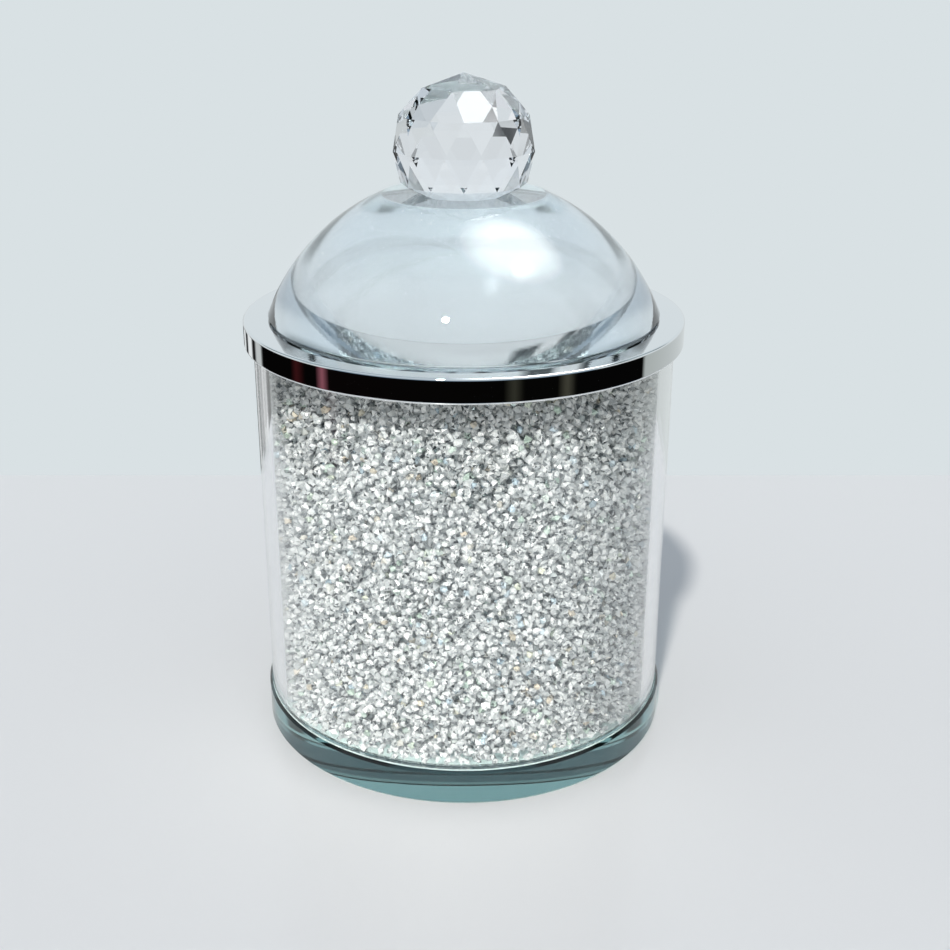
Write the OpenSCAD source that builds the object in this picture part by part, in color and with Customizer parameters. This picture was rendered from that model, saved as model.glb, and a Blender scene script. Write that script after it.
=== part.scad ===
// Glass powder jar with a crystal-filled double wall, a polished rim ring and a
// domed glass lid with a faceted knob.
// +Z is up. The origin is on the jar's axis, on the surface that the jar stands on.

/* [Base disc] */
// Thickness of the glass base disc
base_t = 8.4; // [4:0.2:15]
// How far the base disc stands out past the outer tube, all round
base_lip = 0.7; // [0:0.1:5]
// Width of the ground bevel on the disc's two edges
base_arris = 0.6; // [0.2:0.1:1.5]

/* [Outer tube] */
// Outer diameter of the glass outer tube
tube_od = 95; // [76:0.5:140]
// Wall of the outer tube
tube_wall = 3; // [2:0.25:6]
// Height of both tubes, from the base disc to their seat under the rim ring
tube_h = 86.6; // [40:0.1:160]

/* [Crystal filling and liner] */
// Width of the crystal-filled space between the two tubes
filling_w = 8.5; // [4:0.25:10]
// Wall of the inner tube, which lines the powder well
liner_wall = 2.5; // [1.5:0.25:3.5]

/* [Rim ring] */
// Thickness of the ring where it covers the tube ends
ring_t = 4; // [2:0.1:8]
// Depth of the skirt that hangs down round the outer tube
skirt_h = 1.5; // [0.5:0.1:6]
// How far the ring stands out past the outer tube
ring_overhang = 2; // [1:0.1:5]
// Gap between the skirt and the outer tube
skirt_gap = 0.15; // [0.05:0.05:0.5]
// Rounding of the ring's outer edges
ring_edge_r = 0.5; // [0.1:0.1:0.8]

/* [Lid seal] */
// Thickness of the seal's flange, which the dome rests on
flange_t = 0.3; // [0.2:0.1:1.5]
// Width of the flange outside the mouth
flange_w = 6; // [2:0.5:9]
// Width of the band that fills the space round the locating plug
seal_w = 2.5; // [1:0.25:4]
// Height of the band below the flange
seal_h = 2.5; // [2:0.1:6]
// Gap between the band and the mouth
mouth_gap = 0.4; // [0.2:0.05:1]
// Gap between the seal and the glass that turns in it
turn_gap = 0.1; // [0.05:0.05:0.3]
// Gap between the seal's flange and the rim ring
rest_gap = 0.05; // [0.02:0.01:0.1]

/* [Lid] */
// How far the dome's foot is set in from the ring's outer edge
dome_inset = 5.5; // [3:0.1:8]
// Height of the solid glass dome
dome_h = 26.2; // [15:0.1:40]
// Diameter of the flat ground on top of the dome
dome_flat_d = 36.4; // [26:0.2:44]
// Width of the small bevel round the dome's foot
foot_bevel = 0.4; // [0.1:0.1:1]
// Thickness of the glass locating plug under the dome
plug_t = 3.5; // [2.5:0.1:12]

/* [Knob] */
// Diameter of the faceted ball, over its corners
knob_d = 31.5; // [24:0.5:40]
// Depth ground off the ball for the flat that it stands on
knob_cut = 6; // [3:0.1:8]
// Diameter of that flat, over its corners
knob_foot_d = 19; // [12:0.5:20]
// Facets round the ball's widest part, an even number
knob_sides = 12; // [8:2:16]
// Rows of corner points from the tip down to the flat
knob_rows = 5; // [4:1:7]
// Angle at the ball's centre from its tip down to the first row
knob_first = 36; // [28:1:44]
// Height of the last row on the ball, as a share of the way from its centre to the flat
knob_low = 0.76; // [0.5:0.02:0.9]

/* [Hidden] */
$fn = 180;

tube_r = tube_od / 2;
tube_bore_r = tube_r - tube_wall;
liner_r = tube_bore_r - filling_w;
mouth_r = liner_r - liner_wall;
base_r = tube_r + base_lip;
ring_r = tube_r + ring_overhang;

seat_z = base_t + tube_h;
ring_top_z = seat_z + ring_t;
skirt_z = seat_z - skirt_h;
flange_z = ring_top_z + rest_gap;
foot_z = flange_z + flange_t + rest_gap;
dome_top_z = foot_z + dome_h;

seal_r = mouth_r - mouth_gap;
seal_bore_r = seal_r - seal_w;
plug_r = seal_bore_r - turn_gap;
flange_r = mouth_r + flange_w;

foot_r = ring_r - dome_inset;
flat_r = dome_flat_d / 2;
// The dome is a slice of a sphere that passes through the rim of its foot and the
// rim of its flat top. The sphere's centre lies this far below the foot.
cap_drop = (foot_r * foot_r - flat_r * flat_r - dome_h * dome_h) / (2 * dome_h);
cap_r = norm([foot_r, cap_drop]);

knob_r = knob_d / 2;
knob_flat_drop = knob_r - knob_cut;
knob_centre_z = dome_top_z + knob_flat_drop;
// Angle at the ball's centre from its tip down to the last row on the ball
knob_last = acos(-knob_low * knob_flat_drop / knob_r);

// A tube that stands on its lower end: outer radius, inner radius, bottom and height.
module ring_wall(outer_r, inner_r, bottom, height) {
    translate([0, 0, bottom])
        difference() {
            cylinder(r = outer_r, h = height);
            translate([0, 0, -1])
                cylinder(r = inner_r, h = height + 2);
        }
}

module base_disc() {
    color([0.62, 0.80, 0.79, 0.6])
        rotate_extrude()
            polygon([
                [0, 0],
                [base_r - base_arris, 0],
                [base_r, base_arris],
                [base_r, base_t - base_arris],
                [base_r - base_arris, base_t],
                [0, base_t]
            ]);
}

module outer_tube() {
    color([0.85, 0.92, 0.92, 0.35])
        ring_wall(tube_r, tube_bore_r, base_t, tube_h);
}

module inner_tube() {
    color([0.85, 0.92, 0.92, 0.35])
        ring_wall(liner_r, mouth_r, base_t, tube_h);
}

module crystal_filling() {
    color([0.82, 0.83, 0.81])
        ring_wall(tube_bore_r, liner_r, base_t, tube_h);
}

// Half of the rim ring's cross-section: a flat plate over both tube ends, with a skirt
// outside the outer tube and rounded outer edges.
module rim_profile() {
    edge = ring_edge_r;
    straight = ring_top_z - skirt_z - 2 * edge;
    difference() {
        union() {
            translate([mouth_r, skirt_z])
                square([ring_r - edge - mouth_r, ring_top_z - skirt_z]);
            translate([mouth_r, skirt_z + edge])
                square([ring_r - mouth_r, straight]);
            for (z = [skirt_z + edge, ring_top_z - edge])
                translate([ring_r - edge, z])
                    circle(r = edge);
        }
        translate([mouth_r - 1, skirt_z - 1])
            square([tube_r + skirt_gap - mouth_r + 1, skirt_h + 1]);
    }
}

module rim_ring() {
    color([0.72, 0.73, 0.75])
        rotate_extrude()
            rim_profile();
}

// A soft band round the plug, with a thin flange between the ring and the dome.
module lid_seal() {
    color([0.93, 0.95, 0.95, 0.5])
        rotate_extrude()
            polygon([
                [seal_bore_r, flange_z - seal_h],
                [seal_r, flange_z - seal_h],
                [seal_r, flange_z],
                [flange_r, flange_z],
                [flange_r, flange_z + flange_t],
                [seal_bore_r, flange_z + flange_t]
            ]);
}

module locating_plug() {
    color([0.80, 0.90, 0.90, 0.4])
        translate([0, 0, foot_z - plug_t])
            cylinder(r = plug_r, h = plug_t);
}

// A slice of a sphere, cut flat above and below. The cone under it grinds a small
// bevel round the foot.
module lid_dome() {
    reach = cap_r + dome_h;
    color([0.84, 0.91, 0.92, 0.4])
        intersection() {
            translate([0, 0, foot_z - cap_drop])
                sphere(r = cap_r);
            translate([0, 0, foot_z])
                cylinder(r1 = foot_r - foot_bevel, r2 = foot_r - foot_bevel + reach, h = reach);
            translate([0, 0, foot_z])
                cylinder(r = reach, h = dome_h);
        }
}

// Angle at the ball's centre from its tip down to a row that lies on the ball.
function row_polar(row) =
    row == 0 ? 0 : knob_first + (knob_last - knob_first) * (row - 1) / (knob_rows - 2);

// A corner point of the knob: row 0 is the tip and the last row is on the flat.
// Every second row is turned by half a facet.
function knob_point(row, turn) =
    row == knob_rows
        ? [knob_foot_d / 2 * cos(turn), knob_foot_d / 2 * sin(turn), -knob_flat_drop]
        : let (polar = row_polar(row))
          knob_r * [sin(polar) * cos(turn), sin(polar) * sin(turn), cos(polar)];

function row_turn(row, i) = 360 / knob_sides * (i + (row % 2) / 2);

// The ball's corner points: the tip, a first row with half as many corners, and the
// full rows below it.
module knob() {
    half = knob_sides / 2;
    pitch = 360 / knob_sides;
    tip = [[0, 0, knob_r]];
    first = [for (i = [0 : half - 1]) knob_point(1, pitch * (2 * i + 0.5))];
    rest = [
        for (row = [2 : knob_rows])
            for (i = [0 : knob_sides - 1])
                knob_point(row, row_turn(row, i))
    ];
    start = 1 + half;
    last = start + (knob_rows - 2) * knob_sides;
    crown = [for (i = [0 : half - 1]) [0, 1 + (i + 1) % half, 1 + i]];
    // Each corner of the first row stands over the gap between two corners below it.
    points_up = [
        for (i = [0 : half - 1])
            [1 + i, start + (2 * i + 1) % knob_sides, start + 2 * i]
    ];
    shoulders = [
        for (i = [0 : half - 1])
            [1 + i, 1 + (i + 1) % half, start + (2 * i + 2) % knob_sides, start + 2 * i + 1]
    ];
    bands = [
        for (row = [2 : knob_rows - 1])
            for (i = [0 : knob_sides - 1])
                let (upper = start + (row - 2) * knob_sides)
                let (lower = upper + knob_sides)
                let (next = (i + 1) % knob_sides)
                for (face = row % 2 == 0
                    ? [[upper + i, upper + next, lower + i], [upper + next, lower + next, lower + i]]
                    : [[upper + i, lower + next, lower + i], [upper + i, upper + next, lower + next]])
                    face
    ];
    foot = [[for (i = [0 : knob_sides - 1]) last + i]];
    color([0.90, 0.92, 0.96, 0.4])
        translate([0, 0, knob_centre_z])
            polyhedron(
                points = concat(tip, first, rest),
                faces = concat(crown, points_up, shoulders, bands, foot)
            );
}

base_disc();
outer_tube();
inner_tube();
crystal_filling();
rim_ring();
lid_seal();
locating_plug();
lid_dome();
knob();
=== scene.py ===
import logging
import math
from dataclasses import dataclass
from enum import Enum

import bpy
import numpy as np
from bpy.types import Material, Node, NodeSocket, NodeTree, Object
from mathutils import Euler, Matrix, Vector


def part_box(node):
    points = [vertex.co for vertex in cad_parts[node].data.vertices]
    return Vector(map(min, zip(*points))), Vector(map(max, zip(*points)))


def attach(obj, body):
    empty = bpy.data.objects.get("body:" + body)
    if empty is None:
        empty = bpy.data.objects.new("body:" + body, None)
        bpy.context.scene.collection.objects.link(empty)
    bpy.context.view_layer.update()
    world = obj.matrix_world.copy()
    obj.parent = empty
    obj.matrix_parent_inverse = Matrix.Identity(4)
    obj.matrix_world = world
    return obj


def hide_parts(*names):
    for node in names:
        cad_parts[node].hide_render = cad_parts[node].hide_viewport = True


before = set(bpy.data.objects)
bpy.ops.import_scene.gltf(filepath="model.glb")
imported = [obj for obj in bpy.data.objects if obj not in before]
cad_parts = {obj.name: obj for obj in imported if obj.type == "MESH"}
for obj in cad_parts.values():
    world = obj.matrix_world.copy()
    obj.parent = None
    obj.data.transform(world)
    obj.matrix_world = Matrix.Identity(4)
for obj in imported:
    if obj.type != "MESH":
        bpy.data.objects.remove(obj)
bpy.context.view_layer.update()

MM = 0.001
LOG = logging.getLogger("powder_jar")

# Faces that only rest on each other stand this far apart, in millimetres.
REST_GAP = 0.03
# Glass that is glued with clear adhesive overlaps its neighbour by this much, in millimetres.
# Light then crosses the joint as if it were one glass, as it does through the real adhesive.
BOND = 0.015
# Corners that are blunter than this many degrees are shaded smooth.
SMOOTH_BELOW = 22
WHITE = "#ffffff"


class Edge(Enum):
    """How the faces of a piece meet in its shading."""

    FACETED = "every face flat"
    CRISP = "smooth, with sharp corners"


# ------------------------------------------------------------------ small helpers


def linear(hex_colour: str) -> tuple[float, float, float, float]:
    """Turn an sRGB hex colour into the linear colour that a shader takes.

    Args:
        hex_colour: six hex digits after a hash sign.

    Returns:
        Red, green, blue and an alpha of one.
    """
    shares = [int(hex_colour[i : i + 2], 16) / 255 for i in (1, 3, 5)]
    return tuple([c / 12.92 if c <= 0.04045 else ((c + 0.055) / 1.055) ** 2.4 for c in shares] + [1.0])


def per_metre(size_mm: float) -> float:
    """The texture scale that makes a pattern's features about this many millimetres wide."""
    return 1 / (size_mm * MM)


def span(node: str) -> tuple[float, float, float]:
    """Measure a round CAD node.

    Args:
        node: the CAD node's name.

    Returns:
        Its radius, its lowest and its highest point, in millimetres.
    """
    low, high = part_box(node)
    return min(high.x, high.y, -low.x, -low.y) / MM, low.z / MM, high.z / MM


# ------------------------------------------------------------------ mesh work


def make_piece(
    name: str,
    points: np.ndarray,
    quads: np.ndarray,
    triangles: np.ndarray,
    edge: Edge,
    material: Material,
) -> Object:
    """Put a worked-out surface into a mesh object at the origin.

    Args:
        name: the piece's name.
        points: corner points in millimetres, one row each.
        quads: four corner numbers a row.
        triangles: three corner numbers a row.
        edge: how its faces meet.
        material: its finish.

    Returns:
        The new object.
    """
    mesh = bpy.data.meshes.new(name)
    corners = np.concatenate([np.ravel(quads), np.ravel(triangles)]).astype(np.int32)
    sizes = np.concatenate([np.full(len(quads), 4), np.full(len(triangles), 3)])
    starts = np.concatenate([[0], np.cumsum(sizes)[:-1]]).astype(np.int32)
    mesh.vertices.add(len(points))
    mesh.vertices.foreach_set("co", (np.asarray(points) * MM).astype(np.float32).ravel())
    mesh.loops.add(len(corners))
    mesh.loops.foreach_set("vertex_index", corners)
    mesh.polygons.add(len(sizes))
    mesh.polygons.foreach_set("loop_start", starts)
    mesh.polygons.foreach_set("use_smooth", np.full(len(sizes), edge is Edge.CRISP))
    mesh.update(calc_edges=True)
    mesh.validate()
    if edge is Edge.CRISP:
        mesh.set_sharp_from_angle(angle=math.radians(SMOOTH_BELOW))
    mesh.materials.append(material)
    piece = bpy.data.objects.new(name, mesh)
    bpy.context.scene.collection.objects.link(piece)
    return piece


def arc(
    centre: tuple[float, float], radius: float, start: float, end: float, steps: int
) -> np.ndarray:
    """Work out points of an arc.

    Each is the centre plus the radius times the cosine and sine of evenly spaced angles.

    Args:
        centre: distance from the axis and height of the arc's centre, in millimetres.
        radius: the arc's radius, in millimetres.
        start: first angle in degrees, from the outward direction towards the top.
        end: last angle in degrees.
        steps: number of stretches.

    Returns:
        One row of distance from the axis and height for each point.
    """
    angles = np.radians(np.linspace(start, end, steps + 1))
    return np.array(centre) + radius * np.column_stack([np.cos(angles), np.sin(angles)])


def supported(outline: np.ndarray, closed: bool, margin: float = 0.08) -> np.ndarray:
    """Add a point near each end of every long stretch, so that shading stays flat along it.

    Each added point lies on the stretch, the margin away from its corner.

    Args:
        outline: corner points in millimetres, one row each.
        closed: whether a last stretch leads from the last corner to the first.
        margin: distance of the added points from the corners, in millimetres.

    Returns:
        The outline with its added points, in order.
    """
    step = np.roll(outline, -1, axis=0) - outline
    length = np.hypot(step[:, 0], step[:, 1])
    long = length > 5 * margin
    if not closed:
        long[-1] = False
    share = (margin / np.maximum(length, margin))[:, None]
    rows = np.stack([outline, outline + share * step, outline + (1 - share) * step], axis=1)
    keep = np.stack([np.full(len(outline), True), long, long], axis=1)
    return rows[keep]


def disc_outline(radius: float, low: float, high: float, arris: float) -> list[tuple[float, float]]:
    """Outline half the section of a disc with a bevel round both edges.

    Args:
        radius: the disc's radius, in millimetres.
        low: height of its underside.
        high: height of its top.
        arris: width of the bevels.

    Returns:
        Distance from the axis and height of each corner.
    """
    return [
        (0, low),
        (radius - arris, low),
        (radius, low + arris),
        (radius, high - arris),
        (radius - arris, high),
        (0, high),
    ]


def turned(name: str, outline: list | np.ndarray, material: Material, sides: int = 240) -> Object:
    """Turn an outline about the jar's axis into a closed solid.

    A point at distance r from the axis and height z becomes a ring of points at r times the
    cosine and sine of evenly spaced angles, at height z. An outline whose ends lie on the
    axis is closed there by a pole at each end, and any other outline closes on itself.

    Args:
        name: the piece's name.
        outline: distance from the axis and height of each point in millimetres, going round
            the section with its inside on the left.
        material: the piece's finish.
        sides: number of facets round the axis.

    Returns:
        The new object.
    """
    outline = np.asarray(outline, float)
    solid = outline[0, 0] == 0 and outline[-1, 0] == 0
    rows = supported(outline, closed=not solid)
    poles = rows[[0, -1]]
    if solid:
        rows = rows[1:-1]
    turn = 2 * np.pi * np.arange(sides) / sides
    x = rows[:, :1] * np.cos(turn)
    y = rows[:, :1] * np.sin(turn)
    z = np.broadcast_to(rows[:, 1:], x.shape)
    points = np.stack([x, y, z], axis=-1).reshape(-1, 3)
    near = np.arange(sides)
    far = np.roll(near, -1)
    lower = np.arange(len(rows) - 1 if solid else len(rows))[:, None] * sides
    upper = (lower + sides) % len(points)
    quads = np.stack([lower + near, lower + far, upper + far, upper + near], axis=-1).reshape(-1, 4)
    triangles = np.empty((0, 3), int)
    if solid:
        last = len(points) - sides
        first_pole = np.full(sides, len(points))
        last_pole = first_pole + 1
        points = np.vstack([points, np.column_stack([poles[:, 0], poles[:, 0], poles[:, 1]])])
        triangles = np.concatenate([
            np.column_stack([first_pole, far, near]),
            np.column_stack([last_pole, last + near, last + far]),
        ])
    return make_piece(name, points, quads, triangles, Edge.CRISP, material)


# ------------------------------------------------------------------ finishes


def add(
    tree: NodeTree,
    kind: str,
    inputs: dict | None = None,
    stops: tuple[tuple[float, str], ...] = (),
    **settings: object,
) -> Node:
    """Add a node with its settings and its inputs.

    Args:
        tree: the node tree.
        kind: Blender's name of the node's type.
        inputs: for each input's name or number, a value to set or a socket to link.
        stops: for a colour ramp, the place and the sRGB hex colour of each stop, in order.
        **settings: the node's own properties.

    Returns:
        The new node.
    """
    node = tree.nodes.new(kind)
    for name, value in settings.items():
        setattr(node, name, value)
    for name, value in (inputs or {}).items():
        if isinstance(value, NodeSocket):
            tree.links.new(value, node.inputs[name])
        else:
            node.inputs[name].default_value = value
    if stops:
        elements = node.color_ramp.elements
        while len(elements) < len(stops):
            elements.new(1.0)
        for element, (place, colour) in zip(elements, stops):
            element.position = place
            element.color = linear(colour)
    return node


def by_bearing(stops: tuple[tuple[float, str], ...]) -> tuple[tuple[float, str], ...]:
    """Turn stops given by bearing, from -180 to 180 degrees, into a ramp's places."""
    return tuple((0.5 + degrees / 360, colour) for degrees, colour in stops)


def new_tree(name: str) -> tuple[Material, NodeTree, Node]:
    """Start a node-based material.

    Args:
        name: the material's name.

    Returns:
        The material, its node tree and its output node.
    """
    material = bpy.data.materials.new(name)
    material.use_nodes = True
    tree = material.node_tree
    tree.nodes.clear()
    return material, tree, add(tree, "ShaderNodeOutputMaterial")


def let_lamps_through(tree: NodeTree, surface: NodeSocket, passed: str, grazing: str) -> NodeSocket:
    """Let lamp light pass straight through glass, so that what stands behind it is lit.

    Glass bends light away where it grazes the surface, so less of it passes there.

    Args:
        tree: the node tree.
        surface: the glass shader.
        passed: sRGB hex colour of the light that one surface lets pass, met square on.
        grazing: sRGB hex colour of the light that passes at a grazing angle.

    Returns:
        The shader socket of the mix.
    """
    square_on, slanted = 0.5, 0.75
    stops = ((0.0, passed), (square_on, passed), (slanted, grazing), (1.0, grazing))
    path = add(tree, "ShaderNodeLightPath")
    slant = add(tree, "ShaderNodeLayerWeight", {"Blend": 0.5}).outputs["Facing"]
    light = add(tree, "ShaderNodeValToRGB", {"Fac": slant}, stops).outputs["Color"]
    clear = add(tree, "ShaderNodeBsdfTransparent", {"Color": light})
    sockets = {0: path.outputs["Is Shadow Ray"], 1: surface, 2: clear.outputs["BSDF"]}
    return add(tree, "ShaderNodeMixShader", sockets).outputs["Shader"]


def uneven(
    tree: NodeTree,
    size_mm: float,
    noise: dict,
    patches: tuple[float, float],
    limits: tuple[float, float],
) -> NodeSocket:
    """Vary a roughness in patches, as smears, haze and grain vary a surface.

    Args:
        tree: the node tree.
        size_mm: size of the patches, in millimetres.
        noise: the noise pattern's other inputs.
        patches: where in the pattern, from 0 to 1, the patches begin and are full.
        limits: the roughness outside the patches and in the middle of them.

    Returns:
        The roughness socket.
    """
    place = add(tree, "ShaderNodeTexCoord").outputs["Object"]
    inputs = {"Vector": place, "Scale": per_metre(size_mm), **noise}
    pattern = add(tree, "ShaderNodeTexNoise", inputs).outputs["Fac"]
    inputs = {"Value": pattern, "From Min": patches[0], "From Max": patches[1]}
    inputs |= {"To Min": limits[0], "To Max": limits[1]}
    return add(tree, "ShaderNodeMapRange", inputs).outputs["Result"]


def relief(tree: NodeTree, noise: dict, depth_mm: float, strength: float = 1.0) -> NodeSocket:
    """Raise a noise pattern into fine relief.

    Args:
        tree: the node tree.
        noise: the noise pattern's inputs.
        depth_mm: height of the relief, in millimetres.
        strength: share of it that shows.

    Returns:
        The socket of the bent surface direction.
    """
    pattern = add(tree, "ShaderNodeTexNoise", noise).outputs["Fac"]
    inputs = {"Height": pattern, "Distance": depth_mm * MM, "Strength": strength}
    return add(tree, "ShaderNodeBump", inputs).outputs["Normal"]


@dataclass(frozen=True)
class SodaLimeGlass:
    """Polished soda-lime glass: clear with a green cast that deepens along the light's path.

    Its surface has slow waves from drawing or polishing, and faint wiped smears that only
    show where light grazes it.
    """

    name: str
    cast: str = "#d6efec"
    cast_per_metre: float = 10.0
    wave_mm: tuple[float, float, float] = (12.0, 12.0, 12.0)
    wave_depth_mm: float = 0.002
    smear_mm: float = 9.0
    smear_roughness: float = 0.02
    passed: str = "#fafdfd"
    grazing: str = "#8c9496"
    ior: float = 1.52

    def build(self) -> Material:
        """Build the material.

        Returns:
            The material.
        """
        material, tree, output = new_tree(self.name)
        place = add(tree, "ShaderNodeTexCoord").outputs["Object"]
        scale = [per_metre(size) for size in self.wave_mm]
        stretched = add(tree, "ShaderNodeMapping", {"Vector": place, "Scale": scale})
        waves = {"Vector": stretched.outputs["Vector"], "Scale": 1.0, "Detail": 2.0, "Roughness": 0.4}
        smears = {"Detail": 4.0, "Distortion": 1.5}
        roughness = uneven(tree, self.smear_mm, smears, (0.5, 0.8), (0.0, self.smear_roughness))
        glass = add(
            tree,
            "ShaderNodeBsdfPrincipled",
            {
                "Base Color": linear(WHITE),
                "Roughness": roughness,
                "IOR": self.ior,
                "Transmission Weight": 1.0,
                "Normal": relief(tree, waves, self.wave_depth_mm),
            },
        )
        tint = {"Color": linear(self.cast), "Density": self.cast_per_metre}
        absorbed = add(tree, "ShaderNodeVolumeAbsorption", tint)
        surface = let_lamps_through(tree, glass.outputs["BSDF"], self.passed, self.grazing)
        tree.links.new(surface, output.inputs["Surface"])
        tree.links.new(absorbed.outputs["Volume"], output.inputs["Volume"])
        return material


@dataclass(frozen=True)
class CutCrystal:
    """Lead-free cut crystal: bright, colourless and hard polished, with sharp facets.

    A trace of polishing haze, a few hundredths of a millimetre across on the real one, is
    drawn much coarser so that it breaks up the largest reflections.
    """

    name: str = "cut_crystal"
    ior: float = 1.56
    haze_mm: float = 2.5
    haze_roughness: float = 0.012
    colour: str = "#fdfdff"
    passed: str = "#f6f7fb"
    grazing: str = "#70747c"

    def build(self) -> Material:
        """Build the material.

        Returns:
            The material.
        """
        material, tree, output = new_tree(self.name)
        limits = (0.0, self.haze_roughness)
        roughness = uneven(tree, self.haze_mm, {"Detail": 3.0}, (0.45, 0.75), limits)
        crystal = add(
            tree,
            "ShaderNodeBsdfPrincipled",
            {
                "Base Color": linear(self.colour),
                "Roughness": roughness,
                "IOR": self.ior,
                "Transmission Weight": 1.0,
            },
        )
        surface = let_lamps_through(tree, crystal.outputs["BSDF"], self.passed, self.grazing)
        tree.links.new(surface, output.inputs["Surface"])
        return material


@dataclass(frozen=True)
class CrushedCrystal:
    """Crushed and tumbled crystal chips: clear splinters that together look light grey.

    Every facet throws back another part of the room, so one is white and the next is dark.
    Here that is painted reflection: each facet's base colour is set at random from dark to white.
    Most chips are colourless. A few are painted a cool, green or warm tint, which stands in for the
    colours that their facets split out of the light. Fine cracks scatter the light inside each chip.
    """

    name: str = "crushed_crystal"
    ior: float = 1.55
    clear_share: float = 0.3
    passed: str = "#d2d5d7"
    # Painted reflections: a facet's base colour along this ramp, from dark to white, stands in for the
    # part of the room that it would mirror.
    facets: tuple[tuple[float, str], ...] = (
        (0.0, "#474b4e"),
        (0.06, "#6a6f72"),
        (0.14, "#b4b8ba"),
        (0.45, "#dcdfe0"),
        (0.75, "#f2f3f4"),
        (1.0, "#ffffff"),
    )
    # Random tint of each chip, mostly near white. The cool, warm and green stops near the top are
    # painted fire, the colours that dispersion splits out of the light.
    tints_and_painted_fire: tuple[tuple[float, str], ...] = (
        (0.0, "#dcdee0"),
        (0.25, "#eff0f2"),
        (0.90, "#fafafb"),
        (0.92, "#d2e6f4"),
        (0.95, "#f2e2cf"),
        (0.97, "#dcefe4"),
        (1.0, "#ffffff"),
    )

    def build(self) -> Material:
        """Build the material.

        Returns:
            The material.
        """
        material, tree, output = new_tree(self.name)
        tint_and_fire = add(tree, "ShaderNodeAttribute", attribute_name="chip_tint_and_fire").outputs["Fac"]
        painted_glint = add(tree, "ShaderNodeAttribute", attribute_name="painted_facet_glint").outputs["Fac"]
        tint_and_fire_colour = add(tree, "ShaderNodeValToRGB", {"Fac": tint_and_fire}, self.tints_and_painted_fire).outputs["Color"]
        lit = add(tree, "ShaderNodeValToRGB", {"Fac": painted_glint}, self.facets).outputs["Color"]
        both = {0: 1.0, 6: tint_and_fire_colour, 7: lit}
        colour = add(tree, "ShaderNodeMix", both, data_type="RGBA", blend_type="MULTIPLY")
        polish = {"Value": painted_glint, "To Min": 0.05, "To Max": 0.3}
        roughness = add(tree, "ShaderNodeMapRange", polish).outputs["Result"]
        chip = add(
            tree,
            "ShaderNodeBsdfPrincipled",
            {
                "Base Color": colour.outputs[2],
                "Roughness": roughness,
                "IOR": self.ior,
                "Transmission Weight": self.clear_share,
            },
        )
        surface = let_lamps_through(tree, chip.outputs["BSDF"], self.passed, self.passed)
        tree.links.new(surface, output.inputs["Surface"])
        return material


@dataclass(frozen=True)
class PolishedChrome:
    """Mirror-polished chrome over turned metal: a full mirror with hairline turning marks.

    The marks, some hundredths of a millimetre apart on the real ring, are drawn at a third
    of a millimetre and very shallow.
    """

    name: str = "polished_chrome"
    colour: str = "#e9ebec"
    mark_mm: float = 0.35
    mark_depth_mm: float = 0.0002
    smear_mm: float = 6.0
    smear_roughness: float = 0.06
    least_roughness: float = 0.015

    def build(self) -> Material:
        """Build the material.

        The turning marks follow the distance from the axis and the height, so that they run
        round the ring.

        Returns:
            The material.
        """
        material, tree, output = new_tree(self.name)
        place = add(tree, "ShaderNodeTexCoord").outputs["Object"]
        parts = add(tree, "ShaderNodeSeparateXYZ", {"Vector": place})
        level = {"X": parts.outputs["X"], "Y": parts.outputs["Y"]}
        flat = add(tree, "ShaderNodeCombineXYZ", level).outputs["Vector"]
        reach = add(tree, "ShaderNodeVectorMath", {0: flat}, operation="LENGTH").outputs["Value"]
        across = add(tree, "ShaderNodeCombineXYZ", {"X": reach, "Y": parts.outputs["Z"]})
        marks = {"Vector": across.outputs["Vector"], "Scale": per_metre(self.mark_mm), "Detail": 3.0}
        smears = {"Detail": 5.0, "Distortion": 1.0}
        limits = (self.least_roughness, self.smear_roughness)
        roughness = uneven(tree, self.smear_mm, smears, (0.45, 0.8), limits)
        chrome = add(
            tree,
            "ShaderNodeBsdfPrincipled",
            {
                "Base Color": linear(self.colour),
                "Metallic": 1.0,
                "Roughness": roughness,
                "Normal": relief(tree, marks, self.mark_depth_mm),
            },
        )
        tree.links.new(chrome.outputs["BSDF"], output.inputs["Surface"])
        return material


@dataclass(frozen=True)
class ClearSilicone:
    """Moulded silicone rubber: milky and see-through in a thin layer, with a satin surface."""

    name: str = "clear_silicone"
    colour: str = "#e6eeed"
    grain_mm: float = 0.4
    grain_depth_mm: float = 0.004
    clear_share: float = 0.7
    passed: str = "#c8d0cf"
    grazing: str = "#9aa2a1"
    ior: float = 1.41

    def build(self) -> Material:
        """Build the material.

        Returns:
            The material.
        """
        material, tree, output = new_tree(self.name)
        place = add(tree, "ShaderNodeTexCoord").outputs["Object"]
        grain = {"Vector": place, "Scale": per_metre(self.grain_mm), "Detail": 3.0}
        roughness = uneven(tree, self.grain_mm, {"Detail": 3.0}, (0.0, 1.0), (0.28, 0.5))
        silicone = add(
            tree,
            "ShaderNodeBsdfPrincipled",
            {
                "Base Color": linear(self.colour),
                "Roughness": roughness,
                "IOR": self.ior,
                "Transmission Weight": self.clear_share,
                "Normal": relief(tree, grain, self.grain_depth_mm, strength=0.6),
            },
        )
        surface = let_lamps_through(tree, silicone.outputs["BSDF"], self.passed, self.grazing)
        tree.links.new(surface, output.inputs["Surface"])
        return material


# ------------------------------------------------------------------ the jar


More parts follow.
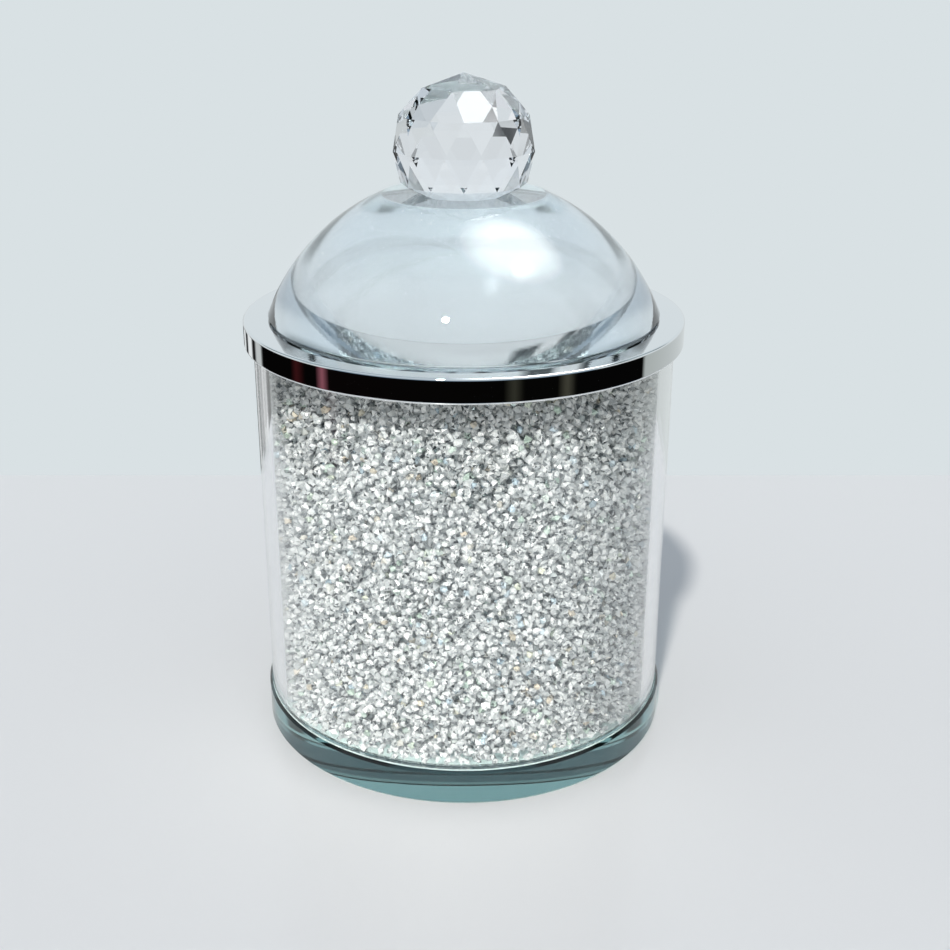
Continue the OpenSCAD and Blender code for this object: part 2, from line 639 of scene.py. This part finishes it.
@dataclass
class Jar:
    """The standing part: base disc, two tubes and the rim ring. Sizes are in millimetres."""

    base_arris: float = 0.6
    tube_wall: float = 3.0
    liner_wall: float = 2.5
    tube_arris: float = 0.35
    skirt_gap: float = 0.15
    ring_edge: float = 0.5
    mouth_edge: float = 0.3

    def build(self) -> list[Object]:
        """Build and dress the jar's turned pieces.

        Returns:
            The pieces, each riding on the jar.
        """
        pieces = [self.base_disc(), self.outer_tube(), self.inner_tube(), self.rim_ring()]
        for piece in pieces:
            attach(piece, "jar")
        return pieces

    def base_disc(self) -> Object:
        """The thick glass disc, with a ground bevel on each edge.

        Returns:
            The new piece.
        """
        outline = disc_outline(*span("base_disc"), self.base_arris)
        finish = SodaLimeGlass(
            "float_glass_base",
            cast="#62b8b6",
            cast_per_metre=16.0,
            wave_mm=(14.0, 14.0, 3.0),
            wave_depth_mm=0.004,
            passed="#eef6f4",
            grazing="#c6d2d0",
        )
        piece = turned("glass_base_disc", outline, finish.build())
        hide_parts("base_disc")
        return piece

    def tube(self, name: str, node: str, wall: float, finish: SodaLimeGlass) -> Object:
        """Build one glass tube with small bevels round both ends.

        Args:
            name: the piece's name.
            node: the CAD node it stands for.
            wall: thickness of its wall.
            finish: its glass.

        Returns:
            The new piece.
        """
        radius, low, high = span(node)
        low -= BOND
        high -= REST_GAP
        bore, arris = radius - wall, self.tube_arris
        outline = [
            (bore + arris, low),
            (radius - arris, low),
            (radius, low + arris),
            (radius, high - arris),
            (radius - arris, high),
            (bore + arris, high),
            (bore, high - arris),
            (bore, low + arris),
        ]
        piece = turned(name, outline, finish.build())
        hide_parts(node)
        return piece

    def outer_tube(self) -> Object:
        """The thick clear tube outside the chips.

        Returns:
            The new piece.
        """
        finish = SodaLimeGlass(
            "drawn_glass_tube",
            cast="#d9ecea",
            cast_per_metre=5.0,
            wave_mm=(3.0, 3.0, 90.0),
            wave_depth_mm=0.0012,
        )
        piece = self.tube("glass_outer_tube", "outer_tube", self.tube_wall, finish)
        return piece

    def inner_tube(self) -> Object:
        """The clear liner of the powder well.

        Returns:
            The new piece.
        """
        finish = SodaLimeGlass(
            "drawn_glass_liner",
            cast="#d9ecea",
            cast_per_metre=5.0,
            wave_mm=(4.0, 4.0, 90.0),
            wave_depth_mm=0.001,
        )
        piece = self.tube("glass_inner_tube", "inner_tube", self.liner_wall, finish)
        return piece

    def rim_ring(self) -> Object:
        """The metal ring: a plate over both tube ends with a skirt round the outer one.

        Returns:
            The new piece.
        """
        radius, low, high = span("rim_ring")
        tube_radius, _, seat = span("outer_tube")
        mouth = span("inner_tube")[0] - self.liner_wall
        skirt_bore = tube_radius + self.skirt_gap
        edge, soft = self.ring_edge, self.mouth_edge
        outline = np.vstack([
            [(mouth, seat)],
            [(skirt_bore, seat)],
            [(skirt_bore, low)],
            arc((radius - edge, low + edge), edge, -90, 0, 6),
            arc((radius - edge, high - edge), edge, 0, 90, 6),
            arc((mouth + soft, high - soft), soft, 90, 180, 4),
        ])
        piece = turned("metal_rim_ring", outline, PolishedChrome().build())
        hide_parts("rim_ring")
        return piece


@dataclass
class Filling:
    """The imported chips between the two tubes. Sizes are in millimetres."""

    chip: float = 1.95
    pitch: float = 1.7
    # How far apart layers and levels stand, and how far a chip may move off its place
    # along its ring, across it and upwards, all as shares of the pitch.
    layer_step: float = 0.88
    level_step: float = 0.92
    moves: tuple[float, float, float] = (0.33, 0.2, 0.36)
    # How far the first and last chips' centres stand off the glass, as a share of a chip,
    # and the share of that which is left to a chip that moves towards the glass.
    inset: float = 0.45
    least_inset: float = 0.6
    # How much a stone's corners move in or out, and how far it is stretched.
    corner_move: float = 0.2
    stretch: tuple[float, float] = (0.72, 1.12)
    # Least distance of a chip from the glass.
    clear: float = 0.06
    stacks: int = 8
    seed: int = 7

    def build(self) -> list[Object]:
        """Build the chips, a stack of them to a piece.

        Returns:
            The pieces, each riding on the jar.
        """
        finish = CrushedCrystal().build()
        rng = np.random.default_rng(self.seed)
        centres = self.places(rng)
        order = np.argsort(centres[:, 2])
        pieces = []
        for number, chosen in enumerate(np.array_split(order, self.stacks), start=1):
            piece = self.stack(f"crystal_chips_{number}", centres[chosen], rng, finish)
            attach(piece, "jar")
            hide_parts("crystal_filling")
            pieces.append(piece)
        return pieces

    def places(self, rng: np.random.Generator) -> np.ndarray:
        """Spread the chips' centres through the space between the tubes.

        Centres start on rings of even pitch, level above level, every second ring turned by
        half a pitch, and each is then moved at random.

        Args:
            rng: source of the random moves.

        Returns:
            One row of x, y and z for each chip.
        """
        outer, low, high = span("crystal_filling")
        inner = span("inner_tube")[0]
        inset = self.inset * self.chip
        layer_count = round((outer - inner) / (self.layer_step * self.pitch))
        layers = np.linspace(inner + inset, outer - inset, layer_count)
        levels = np.arange(low + inset, high - inset, self.level_step * self.pitch)
        rows = []
        for level, height in enumerate(levels):
            for layer, radius in enumerate(layers):
                count = round(2 * math.pi * radius / self.pitch)
                angle = 2 * np.pi * (np.arange(count) + 0.5 * ((level + layer) % 2)) / count
                rows.append(
                    np.column_stack([angle * radius, np.full(count, radius), np.full(count, height)])
                )
        spread = np.vstack(rows)
        for axis, move in enumerate(self.moves):
            spread[:, axis] += rng.uniform(-move, move, len(spread)) * self.pitch
        least = self.least_inset * inset
        radius = np.clip(spread[:, 1], inner + least, outer - least)
        angle = spread[:, 0] / radius
        return np.column_stack([radius * np.cos(angle), radius * np.sin(angle), spread[:, 2]])

    def stack(
        self, name: str, centres: np.ndarray, rng: np.random.Generator, finish: Material
    ) -> Object:
        """Build one stack of chips.

        Every chip starts as the same cut stone: a point below, a ring of five corners round
        its widest part, a ring of five above it and a low point on top. Each corner is moved
        in or out at random, the stone is stretched along its own axes, turned at random and
        set at its place, and what would pass a wall is pressed back to the wall.

        Args:
            name: the piece's name.
            centres: where the chips stand, one row each.
            rng: source of the random shapes.
            finish: the chips' material.

        Returns:
            The new piece.
        """
        fifth = 2 * np.pi * np.arange(5) / 5
        girdle = np.column_stack([np.cos(fifth), np.sin(fifth), np.full(5, 0.05)])
        # The upper ring is narrower and turned against the girdle.
        size, twist, rise = 0.62, 0.6, 0.62
        table = np.column_stack(
            [size * np.cos(fifth + twist), size * np.sin(fifth + twist), np.full(5, rise)]
        )
        stone = np.vstack([[(0, 0, -1.0)], girdle, table, [(0, 0, 0.7)]])
        near = np.arange(5)
        far = np.roll(near, -1)
        faces = np.concatenate([
            np.column_stack([np.zeros(5, int), 1 + far, 1 + near]),
            np.column_stack([1 + near, 1 + far, 6 + near]),
            np.column_stack([1 + far, 6 + far, 6 + near]),
            np.column_stack([6 + near, 6 + far, np.full(5, 11)]),
        ])
        count = len(centres)
        in_out = 1 + rng.uniform(-self.corner_move, self.corner_move, (count, len(stone), 1))
        stretch = rng.uniform(*self.stretch, (count, 1, 3)) * self.chip / 2
        corners = stone * in_out * stretch
        # A random unit quaternion for each chip, written out as a rotation matrix.
        draw = rng.normal(size=(count, 4))
        w, x, y, z = (draw / np.linalg.norm(draw, axis=1, keepdims=True)).T
        turn = np.stack([
            np.stack([1 - 2 * (y * y + z * z), 2 * (x * y - z * w), 2 * (x * z + y * w)], axis=-1),
            np.stack([2 * (x * y + z * w), 1 - 2 * (x * x + z * z), 2 * (y * z - x * w)], axis=-1),
            np.stack([2 * (x * z - y * w), 2 * (y * z + x * w), 1 - 2 * (x * x + y * y)], axis=-1),
        ], axis=1)
        corners = np.einsum("nij,nkj->nki", turn, corners) + centres[:, None, :]
        outer, low, high = span("crystal_filling")
        inner = span("inner_tube")[0]
        reach = np.linalg.norm(corners[..., :2], axis=-1, keepdims=True)
        held = np.clip(reach, inner + self.clear, outer - self.clear)
        corners[..., :2] *= held / reach
        corners[..., 2] = np.clip(corners[..., 2], low + self.clear, high - self.clear)
        triangles = (faces + len(stone) * np.arange(count)[:, None, None]).reshape(-1, 3)
        piece = make_piece(
            name, corners.reshape(-1, 3), np.empty((0, 4), int), triangles, Edge.FACETED, finish
        )
        # A random value for each chip picks its tint and, for a few, a painted fire colour.
        tint_and_fire = piece.data.attributes.new("chip_tint_and_fire", "FLOAT", "POINT")
        tint_and_fire.data.foreach_set("value", np.repeat(rng.random(count), len(stone)).astype(np.float32))
        # A random value for each facet picks its painted reflection colour and its roughness.
        painted_glint = piece.data.attributes.new("painted_facet_glint", "FLOAT", "FACE")
        painted_glint.data.foreach_set("value", rng.random(len(triangles)).astype(np.float32))
        return piece


# ------------------------------------------------------------------ the lid


@dataclass
class Lid:
    """The seal and the lid's three glass pieces. Sizes are in millimetres."""

    seal_w: float = 2.5
    flange_t: float = 0.3
    seal_round: float = 0.12
    mouth_gap: float = 0.4
    plug_arris: float = 0.3
    dome_inset: float = 5.5
    dome_flat_d: float = 36.4
    foot_bevel: float = 0.4
    flat_arris: float = 0.12
    # How far past the flat's edge the dome's arc ends, as a share of that bevel.
    flat_slack: float = 0.4
    dome_steps: int = 72
    dome_sides: int = 300
    knob_cut: float = 6.0
    knob_foot_d: float = 19.0
    knob_sides: int = 12
    knob_rows: int = 5
    knob_first: float = 36.0
    knob_low: float = 0.76

    def build(self) -> list[Object]:
        """Build and dress the seal and the lid.

        Returns:
            The pieces, each riding on its body.
        """
        seal = self.lid_seal()
        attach(seal, "seal")
        glass = [self.locating_plug(), self.lid_dome(), self.knob()]
        for piece in glass:
            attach(piece, "lid")
        return [seal, *glass]

    def lid_seal(self) -> Object:
        """The silicone band with its thin flange, all edges slightly rounded.

        Returns:
            The new piece.
        """
        flange, low, high = span("lid_seal")
        mouth = span("inner_tube")[0] - Jar.liner_wall
        outside = mouth - self.mouth_gap
        bore = outside - self.seal_w
        soft, under = self.seal_round, high - self.flange_t
        outline = np.vstack([
            arc((bore + soft, low + soft), soft, 180, 270, 3),
            arc((outside - soft, low + soft), soft, 270, 360, 3),
            [(outside, under)],
            arc((flange - soft, under + soft), soft, 270, 360, 3),
            arc((flange - soft, high - soft), soft, 0, 90, 3),
            arc((bore + soft, high - soft), soft, 90, 180, 3),
        ])
        piece = turned("silicone_lid_seal", outline, ClearSilicone().build())
        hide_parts("lid_seal")
        return piece

    def locating_plug(self) -> Object:
        """The glass disc under the dome, with a bevel round both edges.

        Returns:
            The new piece.
        """
        radius, low, high = span("locating_plug")
        outline = disc_outline(radius, low, high + BOND, self.plug_arris)
        # A fine haze on the plug softens what is seen through it. It is drawn at a quarter of a
        # millimetre, which is coarser than polishing leaves it.
        finish = SodaLimeGlass(
            "float_glass_plug",
            cast="#c9e2ee",
            cast_per_metre=3.5,
            smear_mm=0.25,
            smear_roughness=0.4,
        )
        piece = turned("glass_locating_plug", outline, finish.build())
        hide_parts("locating_plug")
        return piece

    def lid_dome(self) -> Object:
        """The solid glass dome: a slice of a sphere with a bevelled foot and a flat top.

        The sphere passes through the rim of the foot and the rim of the flat. Its centre lies
        below the foot by the drop that makes both distances from it equal. The foot's bevel
        runs outwards at 45 degrees until it meets the sphere.

        Returns:
            The new piece.
        """
        low, high = span("lid_dome")[1:]
        foot = span("rim_ring")[0] - self.dome_inset
        flat = self.dome_flat_d / 2
        height = high - low
        drop = (foot**2 - flat**2 - height**2) / (2 * height)
        radius = math.hypot(foot, drop)
        toe = foot - self.foot_bevel
        # Where the line that rises outwards from the toe at 45 degrees meets the sphere.
        reach = toe + drop
        rise = (-reach + math.sqrt(reach**2 - 2 * (toe**2 + drop**2 - radius**2))) / 2
        start = math.degrees(math.atan2(drop + rise, toe + rise))
        # The arc ends just short of the flat's rim and leaves room for the bevel round it.
        rim = (flat + self.flat_slack * self.flat_arris, drop + height - self.flat_arris)
        end = math.degrees(math.atan2(rim[1], rim[0]))
        outline = np.vstack([
            [(0, low)],
            [(toe, low)],
            arc((0, low - drop), radius, start, end, self.dome_steps),
            [(flat - self.flat_arris, high)],
            [(0, high)],
        ])
        finish = SodaLimeGlass(
            "pressed_glass_dome",
            cast="#c9e2ee",
            cast_per_metre=3.5,
            wave_mm=(22.0, 22.0, 22.0),
            wave_depth_mm=0.004,
            passed="#f2f8f9",
        )
        piece = turned("glass_lid_dome", outline, finish.build(), self.dome_sides)
        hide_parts("lid_dome")
        return piece

    def knob(self) -> Object:
        """The faceted ball, ground flat where it stands.

        Its corners lie on the ball in rows: the tip, a first row with half as many corners,
        then full rows at equal steps of angle, each turned by half a facet against the last.
        The lowest row is on the flat and pulled in to its width.

        Returns:
            The new piece.
        """
        low, high = span("knob")[1:]
        radius = (high - low + self.knob_cut) / 2
        centre = high - radius
        sides, rows = self.knob_sides, self.knob_rows
        half = sides // 2
        pitch = 2 * math.pi / sides
        first = math.radians(self.knob_first)
        last_polar = math.acos(-self.knob_low * (radius - self.knob_cut) / radius)
        row = np.concatenate([[0], np.full(half, 1), np.repeat(np.arange(2, rows + 1), sides)])
        column = np.concatenate([[0], 2 * np.arange(half), np.tile(np.arange(sides), rows - 1)])
        polar = np.where(row > 0, first + (last_polar - first) * (row - 1) / (rows - 2), 0.0)
        turn = pitch * (column + 0.5 * (row % 2))
        reach = np.where(row < rows, radius * np.sin(polar), self.knob_foot_d / 2)
        level = np.where(row < rows, centre + radius * np.cos(polar), low - BOND)
        points = np.column_stack([reach * np.cos(turn), reach * np.sin(turn), level])
        start = 1 + half
        near = np.arange(half)
        far = (near + 1) % half
        below = start + 2 * near
        triangles = [
            np.column_stack([np.zeros(half, int), 1 + near, 1 + far]),
            np.column_stack([1 + near, below, below + 1]),
        ]
        quads = np.column_stack([1 + near, below + 1, start + (2 * near + 2) % sides, 1 + far])
        near = np.arange(sides)
        far = (near + 1) % sides
        for upper_row in range(2, rows):
            upper = start + (upper_row - 2) * sides
            lower = upper + sides
            if upper_row % 2 == 0:
                triangles.append(np.column_stack([upper + near, lower + near, upper + far]))
                triangles.append(np.column_stack([upper + far, lower + near, lower + far]))
            else:
                triangles.append(np.column_stack([upper + near, lower + near, lower + far]))
                triangles.append(np.column_stack([upper + near, lower + far, upper + far]))
        last = start + (rows - 2) * sides
        points = np.vstack([points, [(0, 0, points[last, 2])]])
        middle = np.full(sides, len(points) - 1)
        triangles.append(np.column_stack([middle, last + far, last + near]))
        faces = np.concatenate(triangles)
        finish = CutCrystal().build()
        piece = make_piece("crystal_knob", points, quads, faces, Edge.FACETED, finish)
        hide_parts("knob")
        return piece


# ------------------------------------------------------------------ the studio


@dataclass
class Studio:
    """A pale table top, two lamps, pale surroundings and the camera. Sizes in metres."""

    table_front: float = -0.21
    table_back: float = 0.1455
    table_half_width: float = 0.21
    table_drop: float = 0.00006
    table_colour: str = "#e4e6e9"
    table_roughness: tuple[float, float] = (0.16, 0.26)
    table_grain_mm: float = 25.0
    lamp_colour: str = "#fffaf2"
    key_azimuth: float = -14.4
    key_height: float = 50.7
    key_spread: float = 3.2
    key_power: float = 2.15
    fill_height: float = 8.0
    fill_spread: float = 16.0
    fill_power: float = 1.8
    fill_colour: str = "#8f98a2"
    camera_place: tuple[float, float, float] = (0.0, -0.3016, 0.1812)
    camera_pitch: float = 22.06
    lens: float = 52.0
    shift_x: float = 0.0117
    softbox_place: tuple[float, float, float] = (0.33, 0.16, 0.93)
    softbox_spread: tuple[float, float] = (25.0, 1.0)
    softbox_power: float = 6.5
    backdrop: str = "#d9e1e4"
    # Where one part of the surroundings gives way to the next, by a direction's own height
    # or, for the front, by how far it points to the back.
    tint_edge: tuple[float, float] = (0.26, 0.40)
    front_edge: tuple[float, float] = (-0.28, -0.42)
    floor_edge: tuple[float, float] = (-0.15, -0.21)
    near_edge: tuple[float, float] = (-0.38, -0.46)
    # Colours of the walls by height: 0 is straight down, 0.5 the horizon and 1 straight up.
    wall_heights: tuple[tuple[float, str], ...] = (
        (0.0, "#c9cdd0"),
        (0.45, "#d6dcde"),
        (0.6, "#e4ebee"),
        (0.75, "#d9e4ea"),
        (1.0, "#c2d0da"),
    )
    front_heights: tuple[tuple[float, str], ...] = (
        (0.50, "#71889b"),
        (0.56, "#a8b4be"),
        (0.7, "#c6d1d9"),
        (1.0, "#cad6de"),
    )
    # Tint of the walls' upper part by bearing in degrees: 0 is the front, 90 is +X.
    wall_bearings: tuple[tuple[float, str], ...] = (
        (-180, "#ffffff"), (-133, "#ffffff"), (-130, "#3e4a47"), (-120, "#3e4a47"),
        (-116, "#dfe8ec"), (-96, "#dfe8ec"), (-90, "#5f6d6e"), (-78, "#ffffff"),
        (78, "#ffffff"), (86, "#5c6866"), (98, "#75827f"), (104, "#e8eeee"),
        (118, "#e8eeee"), (122, "#3e4a47"), (131, "#3e4a47"), (135, "#ffffff"),
        (180, "#ffffff"),
    )
    # What lies close below, by bearing.
    near_bearings: tuple[tuple[float, str], ...] = (
        (-180, "#dfe5e7"), (-120, "#cfd6d8"), (-100, "#8a7f6c"), (-60, "#6f7f8c"),
        (20, "#5f7890"), (100, "#6d88a3"), (125, "#b4bfc6"), (180, "#dfe5e7"),
    )
    # What lies further off below the horizon, by bearing.
    floor_bearings: tuple[tuple[float, str], ...] = (
        (-180, "#dfe5e7"), (-170, "#dfe5e7"), (-168, "#33373a"), (-163, "#33373a"),
        (-161, "#e6eaeb"), (-156, "#e6eaeb"), (-154, "#26282a"), (-150, "#26282a"),
        (-148, "#eef1f2"), (-142, "#eef1f2"), (-140, "#1c1c1c"), (-136, "#1c1c1c"),
        (-134, "#c8cccc"), (-128, "#c8cccc"), (-126, "#060505"), (-98, "#060505"),
        (-94, "#3a1517"), (-88, "#060505"), (-80, "#060505"), (-76, "#8d5560"),
        (-72, "#090606"), (20, "#060605"), (25, "#34342c"), (30, "#070706"),
        (48, "#070706"), (53, "#45443a"), (58, "#060606"), (103, "#060606"),
        (105, "#b4bab8"), (180, "#dfe5e7"),
    )

    def build(self) -> None:
        """Set up the table, the lights, the surroundings, the camera and the view."""
        self.table()
        self.lamp("key_light", self.key_azimuth, self.key_height, self.key_spread, self.key_power)
        fill = self.lamp("front_fill", 0.0, self.fill_height, self.fill_spread, self.fill_power)
        fill.visible_glossy = False
        fill.visible_transmission = False
        self.surroundings()
        self.camera()
        self.view()

    def table(self) -> None:
        """A satin white table top that ends in front of the jar and behind it."""
        material, tree, output = new_tree("satin_white_table")
        grain, limits = {"Detail": 3.0}, self.table_roughness
        roughness = uneven(tree, self.table_grain_mm, grain, (0.0, 1.0), limits)
        paint = add(
            tree,
            "ShaderNodeBsdfPrincipled",
            {"Base Color": linear(self.table_colour), "Roughness": roughness},
        )
        tree.links.new(paint.outputs["BSDF"], output.inputs["Surface"])
        half, front, back = (
            value / MM for value in (self.table_half_width, self.table_front, self.table_back)
        )
        level = -self.table_drop / MM
        points = np.array(
            [(-half, front, level), (half, front, level), (half, back, level), (-half, back, level)]
        )
        quads, triangles = np.array([[0, 1, 2, 3]]), np.empty((0, 3), int)
        top = make_piece("table_top", points, quads, triangles, Edge.FACETED, material)

    def lamp(self, name: str, bearing: float, height: float, spread: float, power: float) -> Object:
        """Set up a far-off lamp.

        Args:
            name: the lamp's name.
            bearing: where it stands, in degrees from the front towards +X.
            height: how high it stands above the horizon, in degrees.
            spread: how wide it looks, in degrees.
            power: its strength in watts per square metre.

        Returns:
            The lamp.
        """
        data = bpy.data.lights.new(name, "SUN")
        data.energy = power
        data.angle = math.radians(spread)
        data.color = linear(self.lamp_colour)[:3]
        lamp = bpy.data.objects.new(name, data)
        lamp.rotation_euler = Euler((math.radians(90 - height), 0, math.radians(bearing)), "XYZ")
        bpy.context.scene.collection.objects.link(lamp)
        return lamp

    def surroundings(self) -> None:
        """Pale walls, a dim floor beyond the table, and a softbox that only gloss shows.

        The camera sees a plain backdrop, and light that soft surfaces gather is plain too.
        """
        world = bpy.data.worlds.new("pale_room")
        bpy.context.scene.world = world
        world.use_nodes = True
        tree = world.node_tree
        tree.nodes.clear()
        output = add(tree, "ShaderNodeOutputWorld")
        direction = add(tree, "ShaderNodeTexCoord").outputs["Generated"]
        path = add(tree, "ShaderNodeLightPath")
        room = self.room(tree, direction)
        softbox = self.softbox(tree, direction, path)
        gloss = add(tree, "ShaderNodeAddShader", {0: room, 1: softbox}).outputs["Shader"]
        fill, plain = (
            add(tree, "ShaderNodeBackground", {"Color": linear(colour), "Strength": 1.0})
            for colour in (self.fill_colour, self.backdrop)
        )
        depth = {0: path.outputs["Diffuse Depth"], 1: 0.5}
        soft = add(tree, "ShaderNodeMath", depth, operation="GREATER_THAN")
        lit = {0: soft.outputs["Value"], 1: gloss, 2: fill.outputs["Background"]}
        lighting = add(tree, "ShaderNodeMixShader", lit).outputs["Shader"]
        seen = {0: path.outputs["Is Camera Ray"], 1: lighting, 2: plain.outputs["Background"]}
        mixed = add(tree, "ShaderNodeMixShader", seen)
        tree.links.new(mixed.outputs["Shader"], output.inputs["Surface"])

    def room(self, tree: NodeTree, direction: NodeSocket) -> NodeSocket:
        """Colour the room by direction: walls, their tinted upper part, front, floor and near.

        Args:
            tree: the world's node tree.
            direction: the direction that is looked in.

        Returns:
            The room's shader socket.
        """
        parts = add(tree, "ShaderNodeSeparateXYZ", {"Vector": direction})
        east, north, up = (parts.outputs[axis] for axis in "XYZ")
        south = add(tree, "ShaderNodeMath", {0: north, 1: -1.0}, operation="MULTIPLY")
        sides = {0: east, 1: south.outputs["Value"]}
        around = add(tree, "ShaderNodeMath", sides, operation="ARCTAN2").outputs["Value"]
        bearing, height = (
            add(tree, "ShaderNodeMapRange", {"Value": value, "From Min": -half, "From Max": half})
            for value, half in ((around, math.pi), (up, 1.0))
        )
        bearing, height = bearing.outputs["Result"], height.outputs["Result"]
        walls = add(tree, "ShaderNodeValToRGB", {"Fac": height}, self.wall_heights)
        colour = walls.outputs["Color"]
        for blend, along, edge, factor, stops in (
            ("MULTIPLY", up, self.tint_edge, bearing, by_bearing(self.wall_bearings)),
            ("MIX", north, self.front_edge, height, self.front_heights),
            ("MIX", up, self.floor_edge, bearing, by_bearing(self.floor_bearings)),
            ("MIX", up, self.near_edge, bearing, by_bearing(self.near_bearings)),
        ):
            reach = {"Value": along, "From Min": edge[0], "From Max": edge[1]}
            share = add(tree, "ShaderNodeMapRange", reach, interpolation_type="SMOOTHSTEP")
            other = add(tree, "ShaderNodeValToRGB", {"Fac": factor}, stops)
            layers = {0: share.outputs["Result"], 6: colour, 7: other.outputs["Color"]}
            mixed = add(tree, "ShaderNodeMix", layers, data_type="RGBA", blend_type=blend)
            colour = mixed.outputs[2]
        shader = add(tree, "ShaderNodeBackground", {"Color": colour, "Strength": 1.0})
        return shader.outputs["Background"]

    def softbox(self, tree: NodeTree, direction: NodeSocket, path: Node) -> NodeSocket:
        """Light a soft round patch that shows only where a surface mirrors it from outside.

        Args:
            tree: the world's node tree.
            direction: the direction that is looked in.
            path: the light path node.

        Returns:
            The softbox's shader socket.
        """
        pair = {0: direction, 1: self.softbox_place}
        toward = add(tree, "ShaderNodeVectorMath", pair, operation="DOT_PRODUCT")
        rim, core = (math.cos(math.radians(angle)) for angle in self.softbox_spread)
        reach = {"Value": toward.outputs["Value"], "From Min": rim, "From Max": core}
        glow = add(tree, "ShaderNodeMapRange", reach, interpolation_type="SMOOTHERSTEP")
        depth = {0: path.outputs["Transmission Depth"], 1: 0.5}
        outside = add(tree, "ShaderNodeMath", depth, operation="LESS_THAN").outputs["Value"]
        strength = glow.outputs["Result"]
        for factor in (self.softbox_power, outside, path.outputs["Is Glossy Ray"]):
            product = add(tree, "ShaderNodeMath", {0: strength, 1: factor}, operation="MULTIPLY")
            strength = product.outputs["Value"]
        lamp = add(tree, "ShaderNodeBackground", {"Color": linear(WHITE), "Strength": strength})
        return lamp.outputs["Background"]

    def camera(self) -> None:
        """The camera, a little above the jar and looking down at it."""
        data = bpy.data.cameras.new("camera")
        data.lens = self.lens
        data.sensor_width = 36.0
        data.shift_x = self.shift_x
        camera = bpy.data.objects.new("camera", data)
        camera.location = Vector(self.camera_place)
        camera.rotation_euler = Euler((math.radians(90 - self.camera_pitch), 0, 0), "XYZ")
        bpy.context.scene.collection.objects.link(camera)
        bpy.context.scene.camera = camera

    def view(self) -> None:
        """Light paths long enough for glass behind glass, and a plain view transform."""
        scene = bpy.context.scene
        scene.view_settings.view_transform = "Standard"
        cycles = scene.cycles
        cycles.max_bounces = 20
        cycles.transmission_bounces = 18
        cycles.glossy_bounces = 8
        cycles.diffuse_bounces = 4
        cycles.transparent_max_bounces = 16
        cycles.sample_clamp_indirect = 30.0
        cycles.use_denoising = True


def main() -> None:
    """Build the studio, the jar, its filling and its lid, and report each piece."""
    logging.basicConfig(level=logging.INFO, format="%(name)s: %(message)s")
    Studio().build()
    for part in (Jar(), Filling(), Lid()):
        for piece in part.build():
            LOG.info("%s: %d faces", piece.name, len(piece.data.polygons))


if __name__ == "__main__":
    main()
